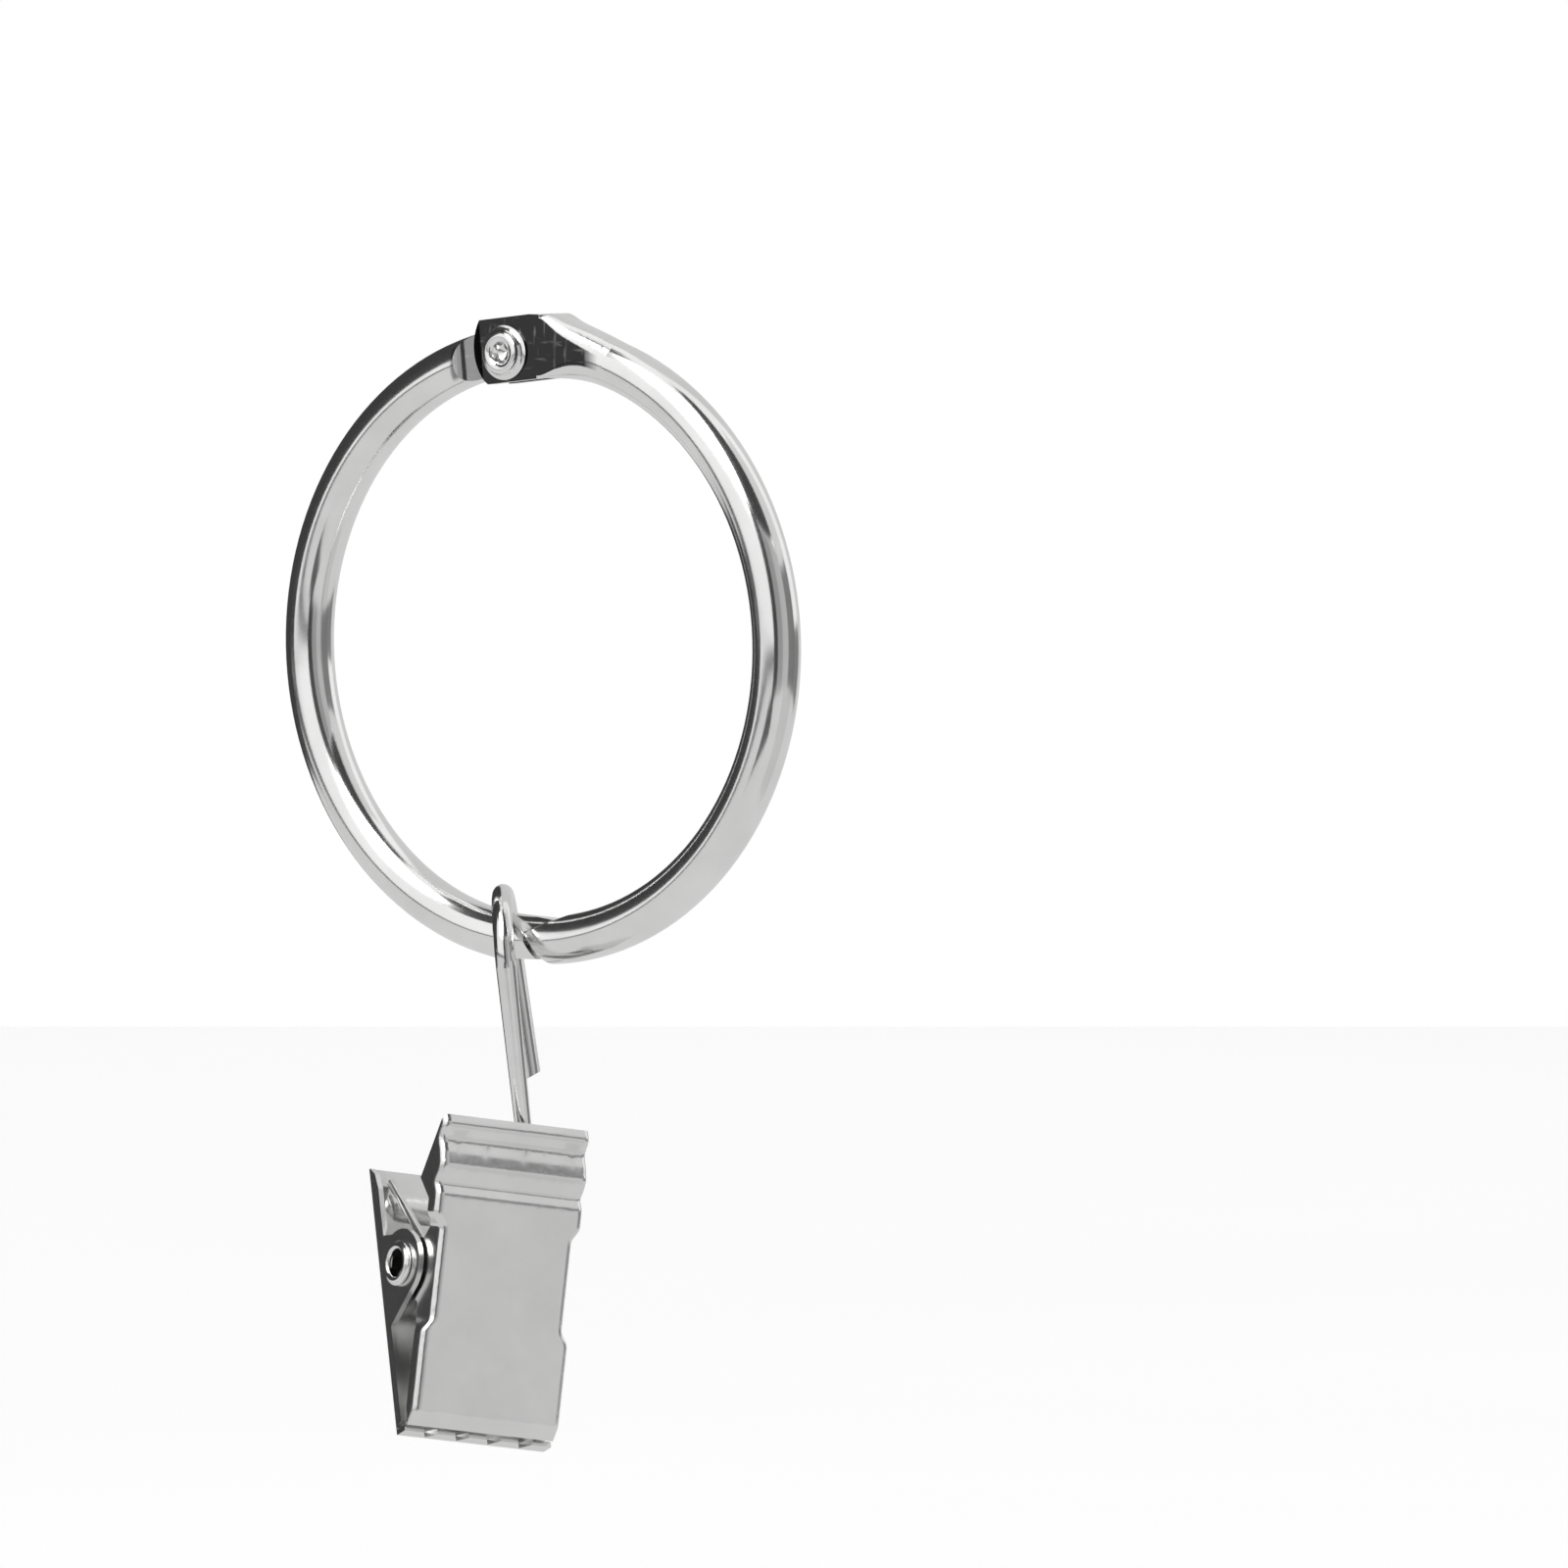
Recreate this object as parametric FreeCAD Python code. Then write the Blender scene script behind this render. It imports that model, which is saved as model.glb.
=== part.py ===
import FreeCAD, Part
import math
import os

# Openable curtain ring with a wire hook and a sprung clip, in millimetres and degrees.
# Origin at the ring's centre, Y along the rod, Z up, the riveted face towards -Y.

Vector = FreeCAD.Vector
UP = Vector(0, 0, 1)
ROD_AXIS = Vector(0, 1, 0)

# Ring
ring_bore = 38.0
ring_wire = 3.4
hinge_lean = 5.45
closure_lean = 3.0

# Hinge at the top of the ring; heights are counted from the hinge axis
hinge_inset = 0.16
fork_rise = 2.44
fork_crown = 2.51
fork_crown_place = 2.38
fork_drop = 2.10
fork_reach = 2.84
fork_corner_reach = 2.07
fork_toe_reach = 1.72
fork_block = 8.0
bevel_run = 0.75
bevel_depth = 0.18
fork_bow_rise = 0.83
slot_width = 1.50
slot_depth = 3.0
tongue_clearance = 0.06
tongue_end = 2.1
tongue_flat = 3.1
scoop_radius = 1.8
hinge_pin = 1.90
hinge_pin_clearance = 0.05
rivet_head = 3.84
rivet_rim = 2.95
rivet_rise = 0.74
rivet_bore = 1.50
rivet_bore_depth = 1.1
rivet_seat = 0.03
rivet_lip = 0.12
rivet_shoulder = 0.30
rivet_edge = 0.12
rivet_mouth = 0.22
rivet_bore_foot = 1.20
rivet_bore_cone = 0.35

# Neck from the square fork to the round wire, section by section: angle from the hinge,
# height over the wire, upper corner radius and lower corner radius
neck_sections = (
    (8.0, 0.76, 0.30, 0.28),
    (10.5, 0.79, 0.95, 0.48),
    (12.5, 0.56, 1.22, 0.85),
    (14.5, 0.38, 1.34, 1.17),
    (18.5, 0.20, 1.60, 1.60),
    (21.5, 0.08, 1.67, 1.67),
)
neck_end = 24.0
neck_floor = 0.32
corner_play = 0.01

# Closure at the bottom of the ring
tip_back = 1.35
tip_depth = 1.15
lip_forward = 1.70
heel_back = 0.10
closure_gap = 0.10
heel_gap = 0.55
lip_run = 2.7
heel_shave = 0.38

# Hook
hook_wire = 1.44
hook_eye_wire = 1.06
hook_seat = 3.14
hook_gap = 0.45
arch_radius = 4.3
hook_yaw = 34.6
stem_lean = 9.8
stem_length = 16.15
stem_drop = 6.0
tail_length = 9.7
tail_in = 9.0
tail_out = 2.8
tail_cut = 22.0
nick_place = 5.7
nick_radius = 2.6
nick_depth = 0.42
eye_clearance = 0.17
eye_offset = 2.7
eye_turn = 312.0

# Clip
clip_yaw = 69.4
clip_roll = 7.4
clip_width = 12.1
sheet = 0.40
bend = 0.55

# Front jaw; each grip wave has a height, a depth behind the face and a spread
front_face = 4.10
front_top = 10.7
front_lip = 10.0
front_lip_slope = 0.55
grip_waves = ((9.0, 0.42, 0.75), (7.2, -0.12, 0.40), (5.85, 0.36, 0.50))
front_bottom = 10.2
front_toe_drop = 1.0
front_toe_back = 0.50
front_flange = 1.20
front_flange_top = 0.50
front_flange_deep = 2.65
front_deep_row = 6.1
front_flange_neck = 1.25
front_neck_row = 4.7
front_flange_foot = 0.95
front_foot_rise = 0.25
front_foot_drop = 0.4
waist_top = 3.3
waist_bottom = 4.0
waist_jog = 1.2
lip_softness = 0.2
toe_softness = 0.12
shoulder_forward = 1.83
shoulder_rise = 1.95
shoulder_drop = 2.52
ear_foot_forward = 1.93
ear_foot_rise = 0.45
flange_start = 0.35

# Level sections through the front jaw: close together at its bends, wide apart where it is flat
toe_rows = 9
toe_step = 0.2
jog_rows = 3
jog_step = 0.3
grip_lead = 0.4
grip_step = 0.25
flat_rows = (-8.8, -7.6, -6.4, -5.4, -2.4, -1.2, 0.0, 1.2)

# Rear jaw
rear_lean = 22.5
rear_offset = 3.05
rear_top = 8.03
rear_bottom = 11.90
rear_flange = 1.28
rear_flange_low = 1.08
rear_root = 3.95
rear_dish = 0.35
rear_dish_radius = 1.6
rear_dish_drop = 2.7
ear_radius = 2.45
ear_step = 0.35
toe_reach = 1.45
toe_root = 1.2
toe_side_gap = 0.15
ear_low_angle = 21.1
ear_high_angle = 14.5
rear_step_rise = 0.25
rear_corner_drop = 0.6
rear_corner_run = 0.25
rear_shoulder_drop = 1.8
rear_edge_margin = 0.1
rear_foot_rise = 0.9
tooth_pitch = 2.60
tooth_depth = 0.85
tooth_valley = 1.15
tooth_valleys = 4

# Pivot of the clip
pivot_tube = 2.60
pivot_bore = 2.10
pivot_rim = 3.20
pivot_rim_height = 0.42
pivot_rim_foot = 0.10
pivot_rim_round = 0.16
pivot_rim_shoulder = 0.08
pivot_rim_crest = 0.05
pivot_clearance = 0.05
ear_clearance = 0.20

# Spring on the pivot
spring_wire = 0.60
spring_clearance = 0.12
spring_pitch = 0.72
spring_turns = 8
spring_side_gap = 0.15
spring_rear_angle = 216.0
spring_front_angle = 123.0
arm_gap = 0.06

# Values that follow from the sizes above
wire_r = ring_wire / 2
fork_width = ring_wire
clear = 2 * ring_wire
ring_r = ring_bore / 2 + wire_r
hinge_r = ring_r - hinge_inset
tongue_width = slot_width - 2 * tongue_clearance
half_width = clip_width / 2
spring_left = half_width - 2 * sheet - ear_clearance - spring_side_gap - spring_wire / 2


def turned(shape, centre, axis, angle):
    copy = shape.copy()
    copy.rotate(centre, axis, angle)
    return copy


def prism(points, depth_from, depth_to):
    """A closed outline of (x, z) points, drawn out along Y."""
    corners = [Vector(x, depth_from, z) for x, z in points]
    face = Part.Face(Part.makePolygon(corners + corners[:1]))
    return face.extrude(Vector(0, depth_to - depth_from, 0))


def y_cylinder(radius, x, z, y_from, y_to):
    return Part.makeCylinder(radius, y_to - y_from, Vector(x, y_from, z), ROD_AXIS)


# Ring halves, drawn with the hinge straight above the centre

def ring_arc(start, sweep):
    """Round wire round the ring's centre; angles run from the top towards +X."""
    circle = Part.Wire(Part.makeCircle(wire_r, Vector(0, 0, ring_r), Vector(1, 0, 0)))
    arc = Part.Face(circle).revolve(Vector(0, 0, 0), ROD_AXIS, sweep)
    return turned(arc, Vector(0, 0, 0), ROD_AXIS, start)


def on_ring(angle, radius):
    """A point at an angle from the top towards +X."""
    rad = math.radians(angle)
    return Vector(radius * math.sin(rad), 0, radius * math.cos(rad))


def neck_section(angle, over, upper_radius, lower_radius, under):
    """Upright section of the neck: flat cheeks with rounded upper and lower corners."""
    half = fork_width / 2
    top = ring_r + wire_r + over
    bottom = ring_r - wire_r - under
    a, b = upper_radius, lower_radius
    turn = 1 - math.sqrt(0.5)

    def p(y, height):
        point = on_ring(angle, height)
        point.y = y
        return point

    edges = [
        Part.makeLine(p(-half, bottom + b), p(-half, top - a)),
        Part.Arc(p(-half, top - a), p(-half + a * turn, top - a * turn), p(-half + a, top)).toShape(),
        Part.makeLine(p(-half + a, top), p(half - a, top)),
        Part.Arc(p(half - a, top), p(half - a * turn, top - a * turn), p(half, top - a)).toShape(),
        Part.makeLine(p(half, top - a), p(half, bottom + b)),
        Part.Arc(p(half, bottom + b), p(half - b * turn, bottom + b * turn), p(half - b, bottom)).toShape(),
        Part.makeLine(p(half - b, bottom), p(-half + b, bottom)),
        Part.Arc(p(-half + b, bottom), p(-half + b * turn, bottom + b * turn), p(-half, bottom + b)).toShape(),
    ]
    return Part.Wire(edges)


def fork_neck():
    """Loft from the square fork, its cheeks tapering to a point, into the round wire."""
    sections = []
    for angle, over, upper, lower in neck_sections:
        fade = (neck_end - angle) / (neck_end - fork_block)
        sections.append(neck_section(angle, over, upper, lower, neck_floor * fade ** 2))
    nearly_round = wire_r - corner_play
    sections.append(neck_section(neck_end, 0, nearly_round, nearly_round, 0))
    return Part.makeLoft(sections, True, False)


def fork_head():
    """The fork's square block: flat top and bottom, slightly bowed free end."""
    top = hinge_r + fork_rise
    bottom = hinge_r - fork_drop
    upper = Vector(-fork_corner_reach, 0, top)
    bow = Vector(-fork_reach, 0, hinge_r + fork_bow_rise)
    lower = Vector(-fork_toe_reach, 0, bottom)
    crown = Vector(fork_crown_place, 0, hinge_r + fork_crown)
    neck_top = on_ring(fork_block, ring_r + wire_r + neck_sections[0][1])
    neck_foot = on_ring(fork_block, ring_r - wire_r - neck_floor)
    edges = [
        Part.Arc(lower, bow, upper).toShape(),
        Part.makeLine(upper, crown),
        Part.makeLine(crown, neck_top),
        Part.makeLine(neck_top, neck_foot),
        Part.makeLine(neck_foot, lower),
    ]
    face = Part.Face(Part.Wire(edges))
    face.translate(Vector(0, -fork_width / 2, 0))
    return face.extrude(Vector(0, fork_width, 0))


def fork_slot():
    return Part.makeBox(clear + slot_depth, slot_width, 2 * clear,
                        Vector(-clear, -slot_width / 2, hinge_r - clear))


def fork_end_bevels():
    """Wedges that take the sharp outer edges off the fork's free end."""
    half = fork_width / 2
    wedges = []
    for side in (-1, 1):
        corners = [
            Vector(-fork_reach - bevel_run, side * (half - 2 * bevel_depth), 0),
            Vector(-fork_reach + 2 * bevel_run, side * (half + bevel_depth), 0),
            Vector(-fork_reach - bevel_run, side * (half + bevel_depth), 0),
        ]
        face = Part.Face(Part.makePolygon(corners + corners[:1]))
        wedges.append(face.extrude(UP * (ring_r + clear)))
    return wedges


def closure_points():
    """Corners of the right half's V tongue as (x, z): lip, tip and heel."""
    inner = -(ring_r - wire_r)
    lip = (lip_forward, inner)
    tip = (-tip_back, inner - tip_depth)
    heel = (-heel_back, -(ring_r + wire_r))
    return lip, tip, heel


def extended(point, toward, extra):
    """The point moved on along the line from toward to point."""
    dx, dz = point[0] - toward[0], point[1] - toward[1]
    length = math.hypot(dx, dz)
    return (point[0] + dx * extra / length, point[1] + dz * extra / length)


def turned_to_closure(shape):
    return turned(shape, Vector(0, 0, 0), ROD_AXIS, hinge_lean - closure_lean)


def right_half():
    lip, tip, heel = closure_points()
    spare = 2 * ring_wire
    sweep = 180 - neck_end + hinge_lean - closure_lean + math.degrees(spare / ring_r)
    arc = ring_arc(neck_end, sweep)
    beyond = [extended(lip, tip, spare), tip, extended(heel, tip, spare),
              (-2 * spare, heel[1] - spare), (-2 * spare, lip[1] + spare)]
    arc = arc.cut(turned_to_closure(prism(beyond, -ring_wire, ring_wire)))
    head = fork_head().fuse(fork_neck()).cut(fork_slot())
    for wedge in fork_end_bevels():
        head = head.cut(wedge)
    half = arc.fuse(head).removeSplitter()
    hole = y_cylinder(hinge_pin / 2 + rivet_seat, 0, hinge_r, -fork_width, fork_width)
    return half.cut(hole)


def tongue_scoops():
    """Two side cuts that flatten the left half's end and run out in a round scoop."""
    cuts = []
    start = -tongue_flat
    for side in (-1, 1):
        near = side * tongue_width / 2
        far = side * (tongue_width / 2 + 2 * scoop_radius)
        low = min(near, far)
        box = Part.makeBox(tongue_flat + clear, abs(far - near), 2 * clear, Vector(start, low, hinge_r - clear))
        centre = Vector(start, near + side * scoop_radius, hinge_r - clear)
        scoop = Part.makeCylinder(scoop_radius, 2 * clear, centre, UP)
        cuts.append(box.fuse(scoop))
    return cuts


def lip_shave():
    """Flat cut, tangent to the ring's inside, that thins the left half's upper lip to an edge."""
    inner = ring_r - wire_r
    angle = math.asin(lip_run / inner)
    start = (-lip_run, -inner * math.cos(angle))
    end = (start[0] + clear * math.cos(angle), start[1] - clear * math.sin(angle))
    corners = [start, end, (end[0], start[1] + ring_wire), (start[0], start[1] + ring_wire)]
    return prism(corners, -ring_wire, ring_wire)


def left_half():
    lip, tip, heel = closure_points()
    past_hinge = math.degrees(tongue_end / ring_r)
    spare = 2 * ring_wire
    sweep = 180 + past_hinge + math.degrees(spare / ring_r) - hinge_lean + closure_lean
    arc = ring_arc(past_hinge - sweep, sweep)
    lip_root = (lip[0], lip[1] + closure_gap)
    tip_root = (tip[0] - closure_gap, tip[1] + closure_gap)
    floor = (tip[0] - closure_gap, tip[1] - heel_gap)
    heel_root = (heel[0] - heel_gap, heel[1])
    notch = [extended(lip_root, tip_root, spare), tip_root, floor, extended(heel_root, floor, spare),
             (2 * spare, heel[1] - spare), (2 * spare, lip[1] + spare)]
    end = Part.makeBox(ring_r, 2 * ring_wire, 2 * ring_wire,
                       Vector(lip_forward, -ring_wire, -ring_r - ring_wire))
    half = arc.cut(turned_to_closure(prism(notch, -ring_wire, ring_wire).fuse(end)))
    half = half.cut(turned_to_closure(lip_shave()))
    under = Vector(-clear, -ring_wire, heel_shave - ring_wire - ring_r - wire_r)
    level = Part.makeBox(2 * clear, clear, ring_wire, under)
    half = half.cut(turned(level, Vector(0, 0, 0), ROD_AXIS, hinge_lean))
    for cut in tongue_scoops():
        half = half.cut(cut)
    corner = Part.makeBox(ring_r, clear, 2 * clear, Vector(0, -ring_wire, hinge_r - clear))
    corner = corner.cut(y_cylinder(tongue_end, 0, hinge_r, -clear, clear))
    half = half.cut(corner)
    hole = y_cylinder(hinge_pin / 2 + hinge_pin_clearance, 0, hinge_r, -ring_wire, ring_wire)
    return half.cut(hole)


def hinge_rivet():
    """Hollow rivet: rolled head with a drilled bore at each end, turned about its axis."""
    face = fork_width / 2 + rivet_seat
    shank = hinge_pin / 2
    base = rivet_head / 2
    rim = rivet_rim / 2
    bore = rivet_bore / 2
    crest = (rim + bore) / 2
    top = face + rivet_rise

    def p(radius, height):
        return Vector(radius, height, 0)

    floor = top - rivet_bore_depth
    outer_lip = p(base, face + rivet_lip)
    shoulder = p(rim + rivet_edge, face + rivet_shoulder)
    outer_edge = p(rim, top - rivet_edge)
    mouth = p(bore, top - rivet_mouth)
    bore_foot = p(rivet_bore_foot / 2, floor + rivet_bore_cone)
    edges = [
        Part.makeLine(p(0, 0), p(shank, 0)),
        Part.makeLine(p(shank, 0), p(shank, face)),
        Part.makeLine(p(shank, face), p(base, face)),
        Part.makeLine(p(base, face), outer_lip),
        Part.Arc(outer_lip, shoulder, outer_edge).toShape(),
        Part.Arc(outer_edge, p(crest, top), mouth).toShape(),
        Part.makeLine(mouth, bore_foot),
        Part.makeLine(bore_foot, p(0, floor)),
        Part.makeLine(p(0, floor), p(0, 0)),
    ]
    half = Part.Face(Part.Wire(edges)).revolve(Vector(0, 0, 0), ROD_AXIS, 360)
    rivet = half.fuse(half.mirror(Vector(0, 0, 0), ROD_AXIS)).removeSplitter()
    rivet.translate(Vector(0, 0, hinge_r))
    return rivet


# Places of the hook and the clip on the hanging ring

def unit(vector):
    return vector * (1 / vector.Length)


def hook_axes():
    """Stem direction, arch direction across it, and the ring's tangent at the seat."""
    lean = math.radians(stem_lean)
    yaw = math.radians(hook_yaw)
    down = Vector(0, math.sin(lean), -math.cos(lean))
    across = Vector(-math.sin(yaw), math.cos(yaw), 0)
    across = unit(across - down * across.dot(down))
    return down, across


def hook_seat_point():
    return Vector(-hook_seat, 0, -math.sqrt(ring_r ** 2 - hook_seat ** 2))


def clip_axes():
    """Width, rearward and upward directions of the clip in the ring's frame."""
    yaw = math.radians(clip_yaw)
    roll = math.radians(clip_roll)
    level = Vector(math.cos(yaw), math.sin(yaw), 0)
    width = level * math.cos(roll) - UP * math.sin(roll)
    upward = UP * math.cos(roll) + level * math.sin(roll)
    rearward = upward.cross(width)
    return width, rearward, upward


down, across = hook_axes()
width, rearward, upward = clip_axes()
eye_r = pivot_tube / 2 + eye_clearance + hook_eye_wire / 2
arch_drop = arch_radius - hook_wire / 2 - wire_r - hook_gap
arch_centre = hook_seat_point() + down * arch_drop
stem_top = arch_centre - across * arch_radius
stem_foot = stem_top + down * stem_length
eye_side = stem_foot - upward * stem_drop
eye_centre = eye_side + rearward * eye_r
clip_centre = eye_centre - width * eye_offset


def place_on_clip(shape):
    """Moves a shape drawn in clip axes (x width, y rearward, z up) to the ring's frame."""
    matrix = FreeCAD.Matrix(
        width.x, rearward.x, upward.x, clip_centre.x,
        width.y, rearward.y, upward.y, clip_centre.y,
        width.z, rearward.z, upward.z, clip_centre.z,
        0, 0, 0, 1)
    placed = shape.copy()
    placed.Placement = FreeCAD.Placement(matrix).multiply(placed.Placement)
    return placed


def rod(start, end, radius_a, radius_b):
    """A straight length of wire that may taper."""
    span = end - start
    if abs(radius_a - radius_b) < 1e-9:
        return Part.makeCylinder(radius_a, span.Length, start, unit(span))
    return Part.makeCone(radius_a, radius_b, span.Length, start, unit(span))


def wire_bend(centre, start, turn_axis, angle, radius):
    """Round wire swept round a centre from a start point."""
    spoke = start - centre
    along = turn_axis.cross(spoke)
    circle = Part.Wire(Part.makeCircle(radius, start, unit(along)))
    return Part.Face(circle).revolve(centre, turn_axis, angle)


def hook():
    """One wire: cut tail, arch over the ring, straight stem and eye round the pivot."""
    thick = hook_wire / 2
    thin = hook_eye_wire / 2
    normal = unit(across.cross(down))
    arch = wire_bend(arch_centre, stem_top, normal, 180, thick)
    tail_top = arch_centre + across * arch_radius
    if (arch.CenterOfMass - arch_centre).dot(down) > 0:
        arch = wire_bend(arch_centre, stem_top, normal * -1, 180, thick)
    stem = rod(stem_top, stem_foot, thick, thin)
    lean_in = math.radians(tail_in)
    lean_out = math.radians(tail_out)
    side = normal * -1
    tail_way = down * math.cos(lean_in) - across * math.sin(lean_in)
    tail_way = unit(tail_way + side * math.tan(lean_out))
    tail_end = tail_top + tail_way * tail_length
    tail = rod(tail_top, tail_end, thick, thick)
    shear = math.radians(tail_cut)
    cut_face = tail_way * math.cos(shear) + side * math.sin(shear)
    tail = tail.cut(Part.makeCylinder(4 * thick, 4 * thick, tail_end - tail_way * thick * 0.4, cut_face))
    nick_middle = tail_top + tail_way * nick_place - side * (nick_radius + thick - nick_depth)
    nick = Part.makeCylinder(nick_radius, 8 * thick, nick_middle - across * 4 * thick, across)
    tail = tail.cut(nick)
    leg = rod(stem_foot, eye_side, thin, thin)
    eye = wire_bend(eye_centre, eye_side, width, eye_turn, thin)
    ahead = eye_centre + rearward * eye_r
    if eye.distToShape(Part.Vertex(ahead))[0] > thin:
        eye = wire_bend(eye_centre, eye_side, width * -1, eye_turn, thin)
    pieces = [stem, tail, leg, eye]
    for point, radius in ((stem_foot, thin), (tail_top, thick)):
        pieces.append(Part.makeSphere(radius, point))
    return arch.multiFuse(pieces).removeSplitter()


# Clip, drawn in clip axes: x along the pivot, y rearward, z up, origin at the pivot

def x_prism(points, x_from, x_to):
    """A closed outline of (y, z) points, drawn out along the clip's width."""
    corners = [Vector(x_from, y, z) for y, z in points]
    face = Part.Face(Part.makePolygon(corners + corners[:1]))
    return face.extrude(Vector(x_to - x_from, 0, 0))


def x_cylinder(radius, y, z, x_from, x_to):
    return Part.makeCylinder(radius, x_to - x_from, Vector(x_from, y, z), Vector(1, 0, 0))


def soft_corner(distance, softness):
    """Zero before a bend and growing evenly after it, eased round the bend itself."""
    return (math.sqrt(distance ** 2 + softness ** 2) + distance) / 2


def smooth_step(value, start, end):
    t = min(1.0, max(0.0, (value - start) / (end - start)))
    return t * t * (3 - 2 * t)


def front_setback(z):
    """How far the front jaw's face lies behind its flat part at a height."""
    waves = sum(depth * math.exp(-((z - row) / spread) ** 2) for row, depth, spread in grip_waves)
    lip = front_lip_slope * soft_corner(z - front_lip, lip_softness)
    toe = front_toe_back / front_toe_drop * soft_corner(-front_bottom - z, toe_softness)
    return waves + lip + toe


def front_inset(z):
    """How far the front jaw's sides are drawn in, so that its ears pass inside the rear ones."""
    half_jog = waist_jog / 2
    above = smooth_step(z, waist_top - half_jog, waist_top + half_jog)
    below = smooth_step(-z, waist_bottom - half_jog, waist_bottom + half_jog)
    return (sheet + ear_clearance) * (1 - above - below)


def channel_section(z, inset):
    """Level outline of the front jaw, rounded at its two front corners."""
    face = -front_face + front_setback(z) + inset
    side = half_width - front_inset(z) - inset
    radius = bend - inset
    turn = radius * (1 - math.sqrt(0.5))
    back = ear_radius
    corners = []
    for sign in (-1, 1):
        corners.append(Part.Arc(Vector(sign * side, face + radius, z),
                                Vector(sign * (side - turn), face + turn, z),
                                Vector(sign * (side - radius), face, z)).toShape())
    edges = [
        Part.makeLine(Vector(-side, back, z), Vector(-side, face + radius, z)),
        corners[0],
        Part.makeLine(Vector(-side + radius, face, z), Vector(side - radius, face, z)),
        corners[1],
        Part.makeLine(Vector(side, face + radius, z), Vector(side, back, z)),
        Part.makeLine(Vector(side, back, z), Vector(-side, back, z)),
    ]
    return Part.Wire(edges)


def front_heights():
    """Heights of the level sections, from the toe to the lip."""
    low = -front_bottom - front_toe_drop
    heights = [low + toe_step * i for i in range(toe_rows)]
    heights += flat_rows
    heights += [-waist_bottom + jog_step * i for i in range(-jog_rows, jog_rows + 1)]
    z = waist_top - waist_jog / 2 - grip_lead
    while z < front_top - grip_step / 2:
        heights.append(z)
        z += grip_step
    return sorted(heights) + [front_top]


def front_keep():
    """Side view of the sheet that stays: face, side flanges and the ears about the pivot."""
    ahead = -front_face - clear
    above = front_top + clear
    below = -front_bottom - clear
    top = -front_face + front_flange_top
    deep = -front_face + front_flange_deep
    neck = -front_face + front_flange_neck
    flange = -front_face + front_flange
    foot = -front_face + front_flange_foot
    lobe = ear_radius - ear_step
    outline = [
        (ahead, above), (top, above), (top, front_top), (deep, front_deep_row), (neck, front_neck_row),
        (neck, waist_top),
        (-shoulder_forward, shoulder_rise), (0, lobe), (0, -lobe), (-shoulder_forward, -shoulder_drop),
        (-ear_foot_forward, -waist_bottom + ear_foot_rise), (flange, -waist_bottom - flange_start),
        (flange, -front_bottom + front_foot_rise), (foot, -front_bottom - front_foot_drop),
        (foot, below), (ahead, below)]
    keep = x_prism(outline, -clip_width, clip_width)
    return keep.fuse(x_cylinder(lobe, 0, 0, -clip_width, clip_width))


def front_jaw():
    """Sheet jaw lofted through level sections, trimmed to its side view and bored for the pivot."""
    heights = front_heights()
    outer = Part.makeLoft([channel_section(z, 0) for z in heights], True, False)
    inner = Part.makeLoft([channel_section(z, sheet) for z in heights], True, False)
    shell = outer.common(front_keep())
    jaw = shell.cut(inner)
    bore = pivot_tube / 2 + pivot_clearance
    return jaw.cut(x_cylinder(bore, 0, 0, -clip_width, clip_width))


def rear_box(inset):
    """Upright block with two rounded rear corners, inset from the rear jaw's outside."""
    side = half_width - inset
    back = rear_offset - inset
    low = -rear_bottom - clear
    high = rear_top + clear
    box = Part.makeBox(2 * side, back + front_face, high - low, Vector(-side, -front_face, low))
    edges = [e for e in box.Edges if abs(e.CenterOfMass.y - back) < 1e-6
             and abs(abs(e.CenterOfMass.x) - side) < 1e-6]
    return box.makeFillet(bend - inset, edges)


def ear_point(angle):
    """A point of the rear ear's edge, as (y, z), at an angle from straight up towards the rear."""
    rad = math.radians(angle)
    return (ear_radius * math.sin(rad), ear_radius * math.cos(rad))


def rear_keep():
    """Side view of the rear jaw, upright: plate, flanges and the ears about the pivot."""
    behind = rear_offset + clear
    plate = rear_offset - sheet
    edge = rear_offset - rear_flange
    side_low = -rear_bottom + sheet + toe_side_gap
    lower_edge = rear_offset - rear_flange_low
    outline = [
        (behind, side_low), (plate, side_low), (lower_edge, -rear_bottom + rear_foot_rise),
        (lower_edge, -rear_root), ear_point(180 + ear_low_angle), (0, 0), (0, ear_radius),
        ear_point(ear_high_angle), (edge, ear_radius + rear_step_rise), (edge, rear_top - rear_shoulder_drop),
        (edge + rear_corner_run, rear_top - rear_corner_drop), (plate - rear_edge_margin, rear_top),
        (behind, rear_top)]
    keep = x_prism(outline, -clip_width, clip_width)
    return keep.fuse(x_cylinder(ear_radius, 0, 0, -clip_width, clip_width))


def capsule(radius, half_length, y, z):
    bar = x_cylinder(radius, y, z, -half_length, half_length)
    ends = [Part.makeSphere(radius, Vector(sign * half_length, y, z)) for sign in (-1, 1)]
    return bar.multiFuse(ends).removeSplitter()


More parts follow.
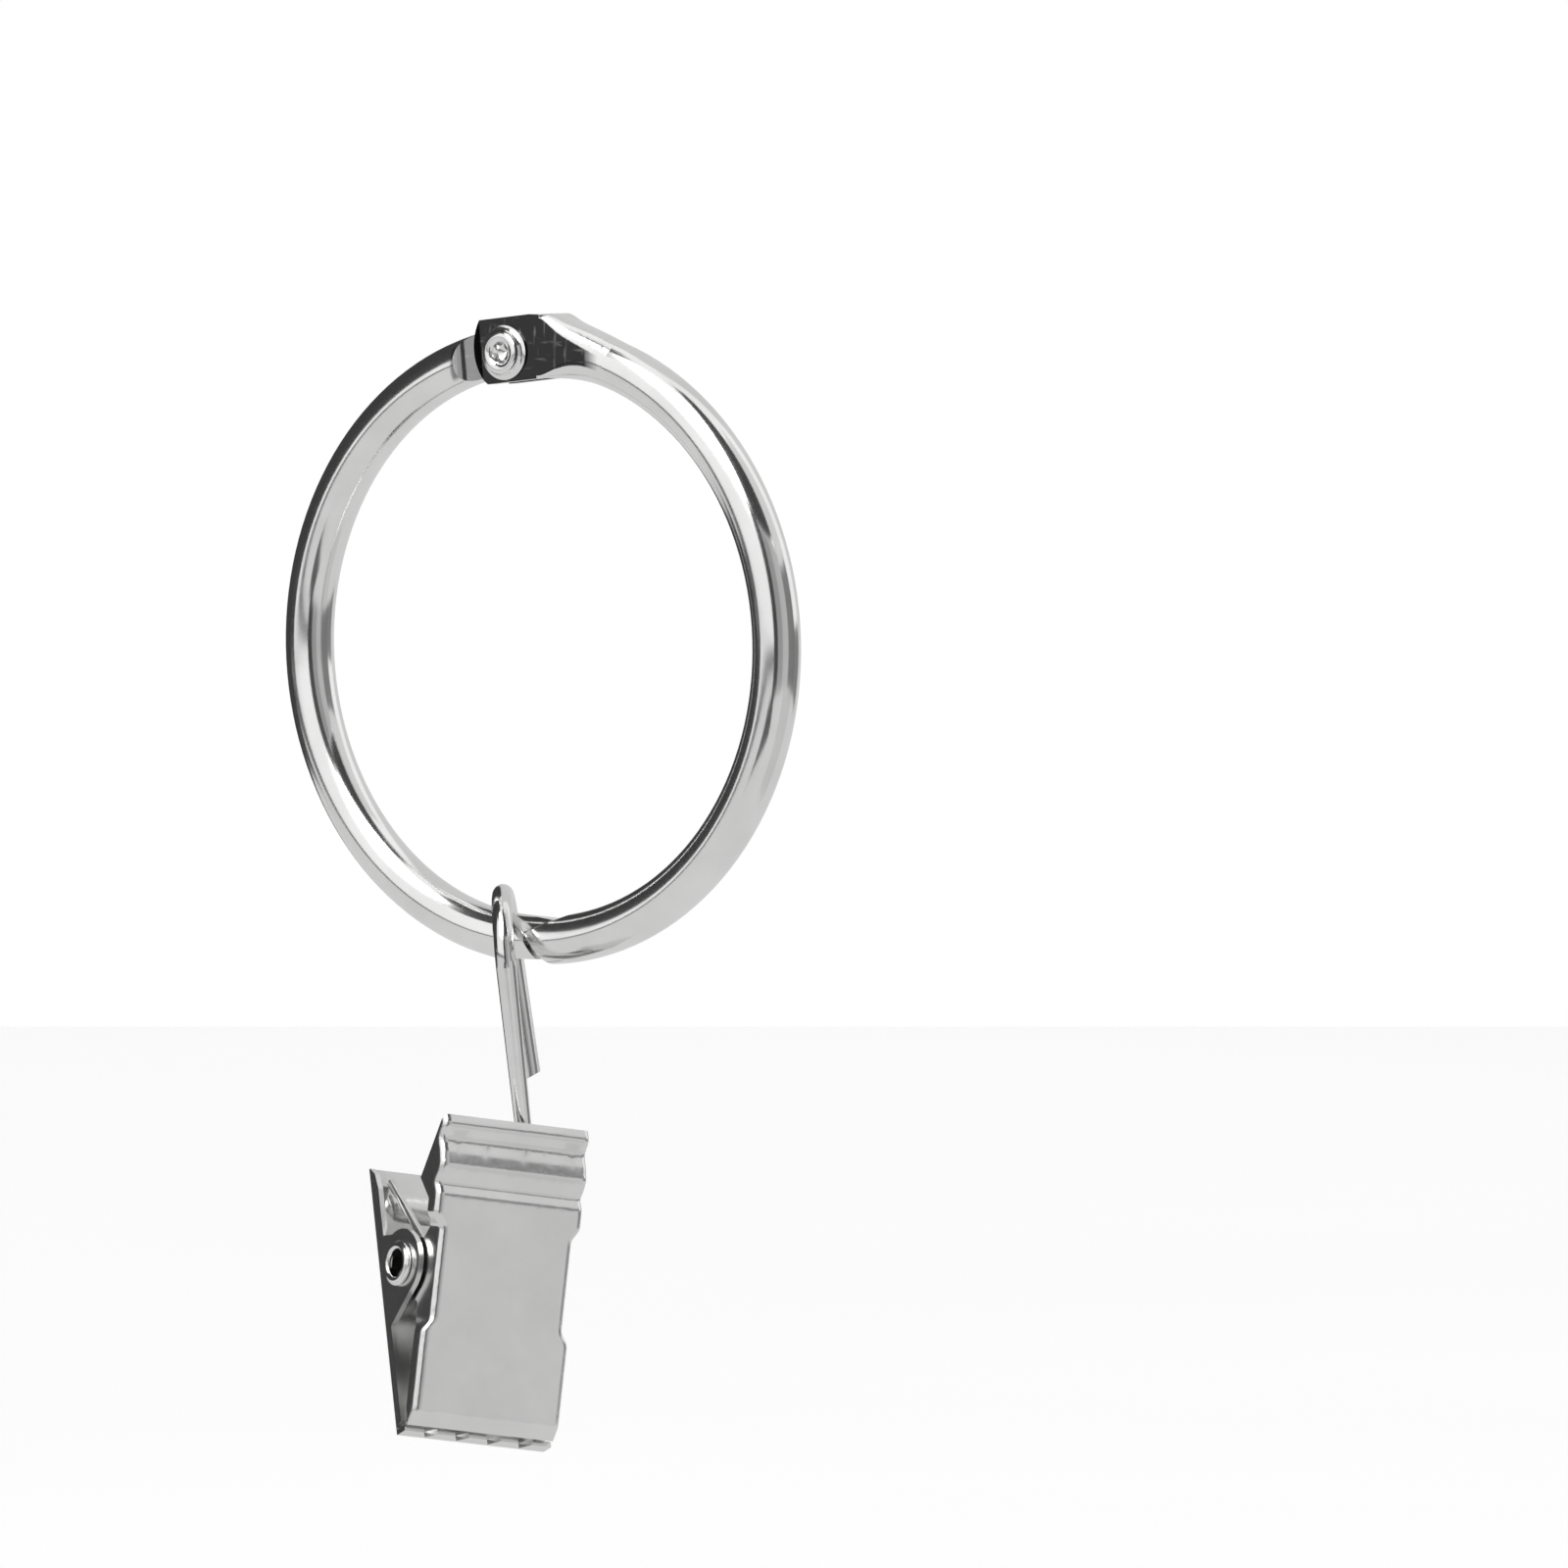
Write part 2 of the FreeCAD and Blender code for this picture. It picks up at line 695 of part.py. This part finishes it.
def rear_toe():
    """Toothed flange turned forward at the rear jaw's foot, as wide as the jaw."""
    tip = rear_offset - toe_reach
    outer = Part.makeBox(clip_width, toe_reach, toe_root, Vector(-half_width, tip, -rear_bottom))
    edges = [e for e in outer.Edges if abs(e.CenterOfMass.y - rear_offset) < 1e-6
             and abs(e.CenterOfMass.z + rear_bottom) < 1e-6]
    outer = outer.makeFillet(bend, edges)
    inner = Part.makeBox(clip_width, toe_reach, toe_root,
                         Vector(-half_width, tip - sheet, -rear_bottom + sheet))
    toe = outer.common(rear_box(0)).cut(inner)
    first = -(tooth_valleys - 1) / 2 * tooth_pitch
    below = -rear_bottom - clear
    for i in range(tooth_valleys):
        x = first + i * tooth_pitch
        half = tooth_valley / 2
        corners = [Vector(x - half, tip, below), Vector(x + half, tip, below),
                   Vector(x, tip + tooth_depth, below)]
        face = Part.Face(Part.makePolygon(corners + corners[:1]))
        toe = toe.cut(face.extrude(UP * 2 * clear))
    return toe


def rear_jaw():
    """Sheet jaw with a pressed finger hollow and a toothed toe, drawn upright and leant back."""
    depth = rear_dish_radius - rear_dish
    hollow = rear_offset + depth
    row = rear_top - rear_dish_drop
    reach = half_width - bend - rear_dish_radius
    shell = rear_box(0).cut(rear_box(sheet)).common(rear_keep())
    boss = capsule(rear_dish_radius + sheet, reach, hollow, row).common(rear_box(sheet / 2))
    shell = shell.fuse(boss).cut(capsule(rear_dish_radius, reach, hollow, row))
    jaw = shell.fuse(rear_toe()).removeSplitter()
    bore = pivot_tube / 2 + pivot_clearance
    jaw = jaw.cut(x_cylinder(bore, 0, 0, -clip_width, clip_width))
    return turned(jaw, Vector(0, 0, 0), Vector(1, 0, 0), -rear_lean)


def pivot_eyelet():
    """Hollow rivet through the four ears, with a rolled rim at each end."""
    bore = pivot_bore / 2
    shank = pivot_tube / 2
    rim = pivot_rim / 2
    seat = half_width + pivot_clearance
    top = seat + pivot_rim_height

    def p(radius, height):
        return Vector(height, radius, 0)

    rim_foot = p(rim - pivot_rim_foot, seat)
    rim_edge = p(rim, seat + pivot_rim_round)
    rim_top = p(rim - pivot_rim_round, top - pivot_rim_shoulder)
    crest = p(shank + pivot_rim_crest, top)
    edges = [
        Part.makeLine(p(bore, 0), p(shank, 0)),
        Part.makeLine(p(shank, 0), p(shank, seat)),
        Part.makeLine(p(shank, seat), rim_foot),
        Part.Arc(rim_foot, rim_edge, rim_top).toShape(),
        Part.Arc(rim_top, crest, p(bore, seat)).toShape(),
        Part.makeLine(p(bore, seat), p(bore, 0)),
    ]
    half = Part.Face(Part.Wire(edges)).revolve(Vector(0, 0, 0), Vector(1, 0, 0), 360)
    return half.fuse(half.mirror(Vector(0, 0, 0), Vector(1, 0, 0))).removeSplitter()


def coil_point(radius, angle, x):
    rad = math.radians(angle)
    return Vector(x, radius * math.sin(rad), -radius * math.cos(rad))


def coil_way(angle):
    rad = math.radians(angle)
    return Vector(0, math.cos(rad), math.sin(rad))


def jaw_spring():
    """Torsion spring: a coil round the pivot and two arms that spread the finger tabs."""
    thick = spring_wire / 2
    coil_r = pivot_tube / 2 + spring_clearance + thick
    turns = spring_turns + (spring_front_angle - spring_rear_angle) / 360
    helix = Part.makeHelix(spring_pitch, spring_pitch * turns, coil_r)
    section = Part.Wire(Part.makeCircle(thick, Vector(coil_r, 0, 0), Vector(0, 1, 0)))
    coil = Part.Wire(helix.Edges).makePipeShell([section], True, True)
    coil.rotate(Vector(0, 0, 0), Vector(0, 1, 0), 90)
    coil.rotate(Vector(0, 0, 0), Vector(1, 0, 0), spring_rear_angle)
    coil.translate(Vector(-spring_left, 0, 0))
    start = coil_point(coil_r, spring_rear_angle, -spring_left)
    end = coil_point(coil_r, spring_front_angle, -spring_left + spring_pitch * turns)
    lean = math.radians(rear_lean)
    outward = Vector(0, math.cos(lean), -math.sin(lean))
    rear_way = coil_way(spring_rear_angle) * -1
    rear_room = rear_offset - sheet - thick - arm_gap - start.dot(outward)
    rear_end = start + rear_way * (rear_room / rear_way.dot(outward))
    front_way = coil_way(spring_front_angle)
    front_room = front_face - sheet - thick - arm_gap + end.y
    front_end = end + front_way * (front_room / -front_way.y)
    pieces = [rod(start, rear_end, thick, thick), rod(end, front_end, thick, thick),
              Part.makeSphere(thick, start), Part.makeSphere(thick, end)]
    return coil.multiFuse(pieces)


def write(name, shape):
    shape.exportStep(os.path.join("parts", name + ".step"))
    print(name, len(shape.Solids), shape.isValid(), round(shape.Volume, 2))


def main():
    os.makedirs("parts", exist_ok=True)
    ring = {"right_ring_half": right_half(), "left_ring_half": left_half(), "hinge_rivet": hinge_rivet()}
    for name, shape in ring.items():
        write(name, turned(shape, Vector(0, 0, 0), ROD_AXIS, -hinge_lean))
    write("hook_wire", hook())
    write("front_jaw", place_on_clip(front_jaw()))
    write("rear_jaw", place_on_clip(rear_jaw()))
    write("pivot_eyelet", place_on_clip(pivot_eyelet()))
    write("jaw_spring", place_on_clip(jaw_spring()))


main()
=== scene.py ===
import math

import bpy
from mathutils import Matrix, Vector

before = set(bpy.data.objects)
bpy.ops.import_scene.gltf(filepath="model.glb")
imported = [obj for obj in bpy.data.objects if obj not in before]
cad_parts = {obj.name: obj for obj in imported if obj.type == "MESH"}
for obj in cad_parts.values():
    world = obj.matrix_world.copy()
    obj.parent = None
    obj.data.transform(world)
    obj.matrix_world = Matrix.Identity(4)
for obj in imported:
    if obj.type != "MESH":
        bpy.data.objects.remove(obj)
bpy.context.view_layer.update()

MM = 0.001

# Camera: the photograph's direction and framing
CAMERA_AZIMUTH = 37.4
CAMERA_ELEVATION = 2.1
FIELD_WIDTH = 109.8 * MM
FRAME_CENTRE_RIGHT = 16.95 * MM
FRAME_CENTRE_UP = -9.77 * MM
CAMERA_DISTANCE = 2.2


def camera_axes():
    """Right, up and forward directions of the camera."""
    azimuth = math.radians(CAMERA_AZIMUTH)
    elevation = math.radians(CAMERA_ELEVATION)
    right = Vector((math.cos(azimuth), math.sin(azimuth), 0))
    level = Vector((-math.sin(azimuth), math.cos(azimuth), 0))
    forward = level * math.cos(elevation) - Vector((0, 0, 1)) * math.sin(elevation)
    return right, right.cross(forward), forward


RIGHT, UP, FORWARD = camera_axes()
AIM = RIGHT * FRAME_CENTRE_RIGHT + UP * FRAME_CENTRE_UP


def add_camera():
    data = bpy.data.cameras.new("camera")
    camera = bpy.data.objects.new("camera", data)
    bpy.context.collection.objects.link(camera)
    camera.location = AIM - FORWARD * CAMERA_DISTANCE
    camera.rotation_euler = FORWARD.to_track_quat("-Z", "Y").to_euler()
    data.sensor_width = 36
    data.lens = 36 * CAMERA_DISTANCE / FIELD_WIDTH
    data.clip_start = 0.1
    data.clip_end = 20
    bpy.context.scene.camera = camera


# Materials

CHEEK_FOOT = 17.6 * MM            # the cheeks' painted dark reflection fades in between these two heights
CHEEK_TOP = 18.2 * MM
SCRATCH_SCALE = 560
CLOUDING_SCALE = 260
POLISH_SCALE = 700
GRAIN_HEIGHT = 0.02 * MM


def grey(level, warmth=0.0):
    """A neutral colour, with a little less blue where it is warm."""
    return level, level, level - warmth


def node_tree(name):
    material = bpy.data.materials.new(name)
    material.use_nodes = True
    tree = material.node_tree
    shader = tree.nodes["Principled BSDF"]
    return material, tree, shader


def noise(tree, scale, detail=4.0, stretch=(1, 1, 1)):
    """Noise over the object's own coordinates."""
    place = tree.nodes.new("ShaderNodeTexCoord")
    mapping = tree.nodes.new("ShaderNodeMapping")
    mapping.inputs["Scale"].default_value = stretch
    texture = tree.nodes.new("ShaderNodeTexNoise")
    texture.inputs["Scale"].default_value = scale
    texture.inputs["Detail"].default_value = detail
    tree.links.new(place.outputs["Object"], mapping.inputs["Vector"])
    tree.links.new(mapping.outputs["Vector"], texture.inputs["Vector"])
    return texture.outputs["Fac"]


def ramp(tree, source, low, high, start=0.35, end=0.65):
    node = tree.nodes.new("ShaderNodeValToRGB")
    node.color_ramp.elements[0].position = start
    node.color_ramp.elements[0].color = (*low, 1)
    node.color_ramp.elements[1].position = end
    node.color_ramp.elements[1].color = (*high, 1)
    tree.links.new(source, node.inputs["Fac"])
    return node.outputs["Color"]


def spread(tree, source, low, high):
    node = tree.nodes.new("ShaderNodeMapRange")
    node.inputs["From Min"].default_value = 0.3
    node.inputs["From Max"].default_value = 0.7
    node.inputs["To Min"].default_value = low
    node.inputs["To Max"].default_value = high
    tree.links.new(source, node.inputs["Value"])
    return node.outputs["Result"]


def bump(tree, shader, source, strength, distance):
    node = tree.nodes.new("ShaderNodeBump")
    node.inputs["Strength"].default_value = strength
    node.inputs["Distance"].default_value = distance
    tree.links.new(source, node.inputs["Height"])
    tree.links.new(node.outputs["Normal"], shader.inputs["Normal"])


def plated_metal(name, dark, bright, smooth, rough, grain, grain_depth):
    """Bright plate with faint clouding, uneven polish and a fine surface grain."""
    material, tree, shader = node_tree(name)
    shader.inputs["Metallic"].default_value = 1
    clouding = noise(tree, CLOUDING_SCALE)
    tree.links.new(ramp(tree, clouding, dark, bright), shader.inputs["Base Color"])
    polish = noise(tree, POLISH_SCALE, 6)
    tree.links.new(spread(tree, polish, smooth, rough), shader.inputs["Roughness"])
    bump(tree, shader, noise(tree, grain, 3), grain_depth, GRAIN_HEIGHT)
    return material


def limits(tree, source, start, end):
    """Zero below the start, one above the end."""
    node = tree.nodes.new("ShaderNodeMapRange")
    node.inputs["From Min"].default_value = start
    node.inputs["From Max"].default_value = end
    tree.links.new(source, node.inputs["Value"])
    return node.outputs["Result"]


def combine(tree, operation, first, second):
    node = tree.nodes.new("ShaderNodeMath")
    node.operation = operation
    tree.links.new(first, node.inputs[0])
    if isinstance(second, float):
        node.inputs[1].default_value = second
    else:
        tree.links.new(second, node.inputs[1])
    return node.outputs["Value"]


def axis_value(tree, output, axis):
    place = tree.nodes.new("ShaderNodeTexCoord")
    split = tree.nodes.new("ShaderNodeSeparateXYZ")
    tree.links.new(place.outputs[output], split.inputs["Vector"])
    return split.outputs[axis]


def scratched_cheeks_with_painted_reflection(material, dark, scratch, facing, along):
    """Pressed flat cheeks beside the hinge: a painted dark reflection in the base colour, crossed by
    fine scratches.

    facing: how squarely a surface faces along Y where the patch starts and where it is full.
    along: the same for its place along X, in millimetres.
    """
    tree = material.node_tree
    shader = tree.nodes["Principled BSDF"]
    sideways = combine(tree, "ABSOLUTE", axis_value(tree, "Normal", "Y"), 0.0)
    flat = limits(tree, sideways, *facing)
    high = limits(tree, axis_value(tree, "Object", "Z"), CHEEK_FOOT, CHEEK_TOP)
    reach = limits(tree, axis_value(tree, "Object", "X"), along[0] * MM, along[1] * MM)
    # mask of the flat cheeks that get the painted dark reflection
    painted_reflection_mask = combine(tree, "MULTIPLY", combine(tree, "MULTIPLY", flat, high), reach)
    upright = limits(tree, noise(tree, SCRATCH_SCALE, 4, (4, 1, 0.8)), 0.58, 0.70)
    level = limits(tree, noise(tree, SCRATCH_SCALE, 4, (0.8, 1, 4)), 0.60, 0.72)
    lines = combine(tree, "MAXIMUM", upright, level)
    # painted dark reflection, with lighter lines for the real fine scratches
    painted_reflection_and_scratches = ramp(tree, lines, dark, scratch, 0.0, 1.0)
    mix = tree.nodes.new("ShaderNodeMix")
    mix.data_type = "RGBA"
    plain = shader.inputs["Base Color"].links[0].from_socket
    tree.links.new(painted_reflection_mask, mix.inputs["Factor"])
    tree.links.new(plain, mix.inputs["A"])
    tree.links.new(painted_reflection_and_scratches, mix.inputs["B"])
    tree.links.new(mix.outputs["Result"], shader.inputs["Base Color"])
    return material


WARMTH = 0.005
ring_look = (grey(0.80, WARMTH), grey(0.86, WARMTH), 0.12, 0.15, 1500, 0.01)
# grey(0.04) to grey(0.15) and grey(0.30) to grey(0.38): painted dark reflection on the flat cheeks,
# lighter where scratched
fork_plate = scratched_cheeks_with_painted_reflection(plated_metal("fork_plate", *ring_look),
                              grey(0.04), grey(0.15), (0.955, 0.972), (6.2, 5.0))
tongue_plate = scratched_cheeks_with_painted_reflection(plated_metal("tongue_plate", *ring_look),
                                grey(0.30), grey(0.38), (0.72, 0.84), (-6.95, -6.7))
hook_plate = plated_metal("hook_plate", grey(0.76, WARMTH), grey(0.83, WARMTH), 0.11, 0.14, 1500, 0.01)
clip_plate = plated_metal("clip_plate", grey(0.75, WARMTH), grey(0.79, WARMTH), 0.20, 0.22, 1500, 0.01)
rivet_plate = plated_metal("rivet_plate", grey(0.78, WARMTH), grey(0.85, WARMTH), 0.13, 0.17, 1500, 0.01)
spring_plate = plated_metal("spring_plate", grey(0.62, 2 * WARMTH), grey(0.74, 2 * WARMTH),
                            0.18, 0.28, 3000, 0.15)

FINISH = {
    "right_ring_half": fork_plate,
    "left_ring_half": tongue_plate,
    "hinge_rivet": rivet_plate,
    "hook_wire": hook_plate,
    "front_jaw": clip_plate,
    "rear_jaw": clip_plate,
    "pivot_eyelet": rivet_plate,
    "jaw_spring": spring_plate,
}

for node, material in FINISH.items():
    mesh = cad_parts[node].data
    mesh.materials.clear()
    mesh.materials.append(material)


# Studio: pale floor, white backdrop, soft lamps and grey cards that the metal mirrors

FLOOR_LEVEL = -0.16
FLOOR_SIZE = 6
CARD_DISTANCE = 0.6
CARD_STEP = 2
FLOOR_LIFT = 0.36
LOW_CARD_LEVEL = -0.13
LOW_CARD_WIDTH = 1.5
LEVEL = Vector((0, 0, 1))
CLIP_CENTRE = Vector((-3 * MM, -5 * MM, -50 * MM))
FACE_MIRRORS = Vector((0.984, 0.196, -0.037))     # where the clip's face sends the camera's view
FACE_CARD_DISTANCE = 0.1
CAMERA_FOOT = -FORWARD * 0.98 - RIGHT * 0.19       # towards the camera, a little to its left
FOOT_CARD_DISTANCE = 0.415

# Curved cards: name, azimuths, elevations in degrees, and shade
CARDS = (
    ("camera_card", (-10, 8), (-14, 32), 0.055),
    ("left_rim_card", (-105, -10), (-14, -7), 0.70),
    ("horizon_card", (-105, -10), (-7, -3.5), 0.05),
    ("right_near_card", (8, 30), (-28, 28), 0.34),
    ("right_card", (30, 58), (-28, 28), 0.50),
    ("right_high_card", (3, 58), (29, 80), 0.055),
    ("right_edge_card", (58, 94), (-13, 21), 0.17),
    ("right_upper_card", (58, 98), (21, 60), 0.72),
    ("right_rear_card", (94, 124), (-13, 4), 0.22),
    ("back_right_card", (125, 180), (-60, 85), 0.68),
    ("back_left_card", (-180, -172), (-60, 85), 0.60),
    ("left_rear_card", (-172, -105), (-14, 66), 0.05),
    ("left_middle_card", (-105, -82), (-3, 76), 0.055),
    ("left_high_card", (-82, -65), (42, 72), 0.055),
)


def emission_material(name, shade):
    material = bpy.data.materials.new(name)
    material.use_nodes = True
    tree = material.node_tree
    tree.nodes.clear()
    glow = tree.nodes.new("ShaderNodeEmission")
    glow.inputs["Color"].default_value = (*grey(shade), 1)
    out = tree.nodes.new("ShaderNodeOutputMaterial")
    tree.links.new(glow.outputs["Emission"], out.inputs["Surface"])
    return material


def plane(name, centre, facing, width, height, material, upright=Vector((0, 0, 1))):
    """A flat card that faces along a direction."""
    facing = facing.normalized()
    side = upright.cross(facing).normalized()
    top = facing.cross(side)
    corners = [centre + side * (sx * width / 2) + top * (sz * height / 2)
               for sx, sz in ((-1, -1), (1, -1), (1, 1), (-1, 1))]
    mesh = bpy.data.meshes.new(name)
    mesh.from_pydata([tuple(c) for c in corners], [], [(0, 1, 2, 3)])
    mesh.materials.append(material)
    card = bpy.data.objects.new(name, mesh)
    bpy.context.collection.objects.link(card)
    return card


def card_point(azimuth, elevation):
    """A point of the card sphere; azimuth runs from the camera towards its right."""
    turn, rise = math.radians(azimuth), math.radians(elevation)
    level = -FORWARD * math.cos(turn) + RIGHT * math.sin(turn)
    return (level * math.cos(rise) + UP * math.sin(rise)) * CARD_DISTANCE


def only_mirrored(card):
    card.visible_camera = False
    card.visible_diffuse = False
    card.visible_shadow = False
    card.visible_transmission = False


def mirrored_card(name, azimuths, elevations, shade):
    """A curved card seen only in reflections, spanning a range of azimuth and elevation."""
    columns = max(2, round((azimuths[1] - azimuths[0]) / CARD_STEP))
    rows = max(2, round((elevations[1] - elevations[0]) / CARD_STEP))
    points = []
    for j in range(rows + 1):
        elevation = elevations[0] + (elevations[1] - elevations[0]) * j / rows
        for i in range(columns + 1):
            azimuth = azimuths[0] + (azimuths[1] - azimuths[0]) * i / columns
            points.append(tuple(card_point(azimuth, elevation)))
    faces = []
    for j in range(rows):
        for i in range(columns):
            first = j * (columns + 1) + i
            faces.append((first, first + 1, first + columns + 2, first + columns + 1))
    mesh = bpy.data.meshes.new(name)
    mesh.from_pydata(points, [], faces)
    mesh.materials.append(emission_material(name, shade))
    card = bpy.data.objects.new(name, mesh)
    bpy.context.collection.objects.link(card)
    only_mirrored(card)


def seen_directly(tree, other_rays):
    """One for camera rays and the other named rays, zero for the rest."""
    path = tree.nodes.new("ShaderNodeLightPath")
    value = path.outputs["Is Camera Ray"]
    for ray in other_rays:
        either = tree.nodes.new("ShaderNodeMath")
        either.operation = "MAXIMUM"
        tree.links.new(value, either.inputs[0])
        tree.links.new(path.outputs[ray], either.inputs[1])
        value = either.outputs["Value"]
    return value


def add_floor():
    material, tree, shader = node_tree("floor_paint")
    tint = ramp(tree, noise(tree, 3), (0.90, 0.90, 0.90), (0.92, 0.92, 0.92))
    tree.links.new(tint, shader.inputs["Base Color"])
    shader.inputs["Roughness"].default_value = 0.9
    glow = tree.nodes.new("ShaderNodeEmission")
    both = tree.nodes.new("ShaderNodeAddShader")
    lift = tree.nodes.new("ShaderNodeMath")
    lift.operation = "MULTIPLY"
    lift.inputs[1].default_value = FLOOR_LIFT
    tree.links.new(seen_directly(tree, ["Is Transmission Ray"]), lift.inputs[0])
    tree.links.new(lift.outputs["Value"], glow.inputs["Strength"])
    tree.links.new(shader.outputs["BSDF"], both.inputs[0])
    tree.links.new(glow.outputs["Emission"], both.inputs[1])
    tree.links.new(both.outputs["Shader"], tree.nodes["Material Output"].inputs["Surface"])
    return plane("floor", Vector((0, 0, FLOOR_LEVEL)), LEVEL, FLOOR_SIZE, FLOOR_SIZE, material, FORWARD)


def add_lamp(name, direction, distance, size, power):
    data = bpy.data.lights.new(name, "AREA")
    data.shape = "SQUARE"
    data.size = size
    data.energy = power
    lamp = bpy.data.objects.new(name, data)
    bpy.context.collection.objects.link(lamp)
    direction = direction.normalized()
    lamp.location = direction * distance
    lamp.rotation_euler = (direction * -1).to_track_quat("-Z", "Y").to_euler()


def add_world():
    world = bpy.data.worlds.new("studio")
    bpy.context.scene.world = world
    world.use_nodes = True
    tree = world.node_tree
    tree.nodes.clear()
    soft = tree.nodes.new("ShaderNodeBackground")
    soft.inputs["Color"].default_value = (0.75, 0.75, 0.75, 1)
    soft.inputs["Strength"].default_value = 0.8
    white = tree.nodes.new("ShaderNodeBackground")
    white.inputs["Color"].default_value = (1, 1, 1, 1)
    white.inputs["Strength"].default_value = 1.0
    mix = tree.nodes.new("ShaderNodeMixShader")
    out = tree.nodes.new("ShaderNodeOutputWorld")
    tree.links.new(seen_directly(tree, ["Is Glossy Ray", "Is Transmission Ray"]), mix.inputs["Fac"])
    tree.links.new(soft.outputs["Background"], mix.inputs[1])
    tree.links.new(white.outputs["Background"], mix.inputs[2])
    tree.links.new(mix.outputs["Shader"], out.inputs["Surface"])


add_camera()
add_floor()
add_world()
add_lamp("key_lamp", -FORWARD * 1.0 - RIGHT * 0.5 + UP * 1.2, 1.2, 0.9, 9)
add_lamp("fill_lamp", RIGHT * 1.2 + UP * 0.3 - FORWARD * 0.4, 1.2, 0.9, 4)
only_mirrored(plane("low_card", Vector((0, 0, LOW_CARD_LEVEL)), LEVEL, LOW_CARD_WIDTH, LOW_CARD_WIDTH,
                    emission_material("low_card", 0.70), FORWARD))
only_mirrored(plane("clip_face_card", CLIP_CENTRE + FACE_MIRRORS * FACE_CARD_DISTANCE, -FACE_MIRRORS,
                    0.07, 0.064, emission_material("clip_face_card", 0.60)))
foot_centre = CAMERA_FOOT * FOOT_CARD_DISTANCE + Vector((0, 0, LOW_CARD_LEVEL + 2 * MM))
only_mirrored(plane("camera_foot_card", foot_centre, LEVEL, 0.17, 0.30,
                    emission_material("camera_foot_card", 0.10), CAMERA_FOOT))
for card in CARDS:
    mirrored_card(*card)

scene = bpy.context.scene
scene.view_settings.view_transform = "Standard"
